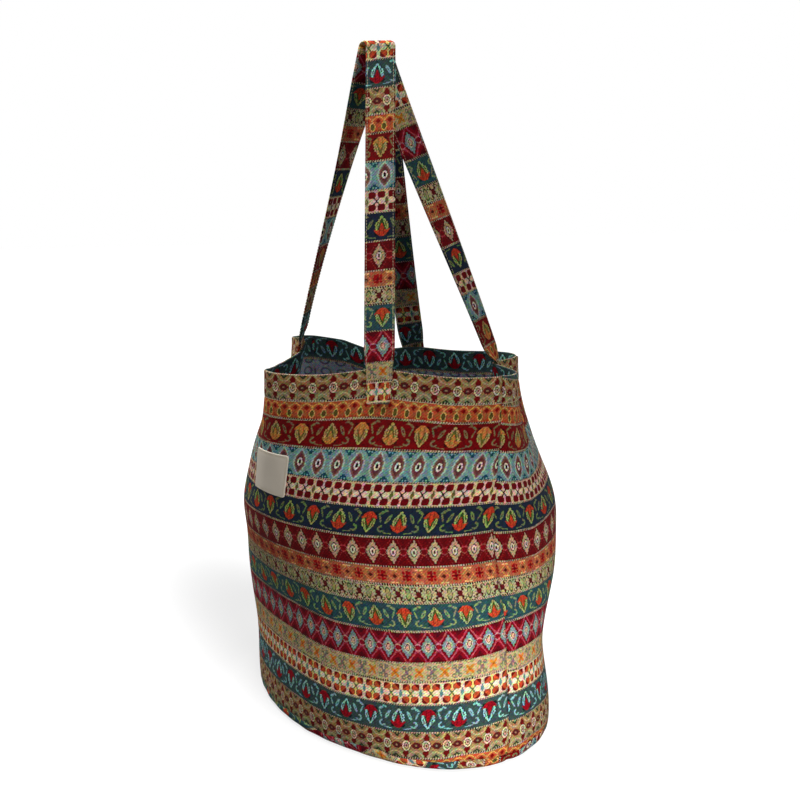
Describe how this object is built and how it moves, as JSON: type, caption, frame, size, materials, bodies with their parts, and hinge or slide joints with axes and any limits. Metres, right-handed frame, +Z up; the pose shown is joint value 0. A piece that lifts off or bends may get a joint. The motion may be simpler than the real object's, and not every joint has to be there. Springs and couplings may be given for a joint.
{
  "type": "shopper tote",
  "caption": "Open-topped woven shopper tote with an oval bottom, side seams, a turned hem, a sewn label and folded cloth handles drawn up to one point.",
  "frame": {"origin": "centre of the bottom, on the surface that the bag stands on", "axes": "+Z up; the labelled front panel faces -Y; the long way of the oval bottom runs along X, with the side seams near its ends"},
  "size_m": [0.4252, 0.332, 0.698],
  "materials": {
    "woven_cloth": "multicolour banded jacquard weave, matt",
    "base_cloth": "the same jacquard weave, matt",
    "strap_cloth": "the same jacquard weave folded into a strip, matt",
    "label_patch": "plain pale patch, matt"
  },
  "bodies": {
    "root": {"front_panel": "woven_cloth", "back_panel": "woven_cloth", "base_panel": "base_cloth", "front_handle": "strap_cloth", "back_handle": "strap_cloth", "label": "label_patch"}
  },
  "joints": []
}
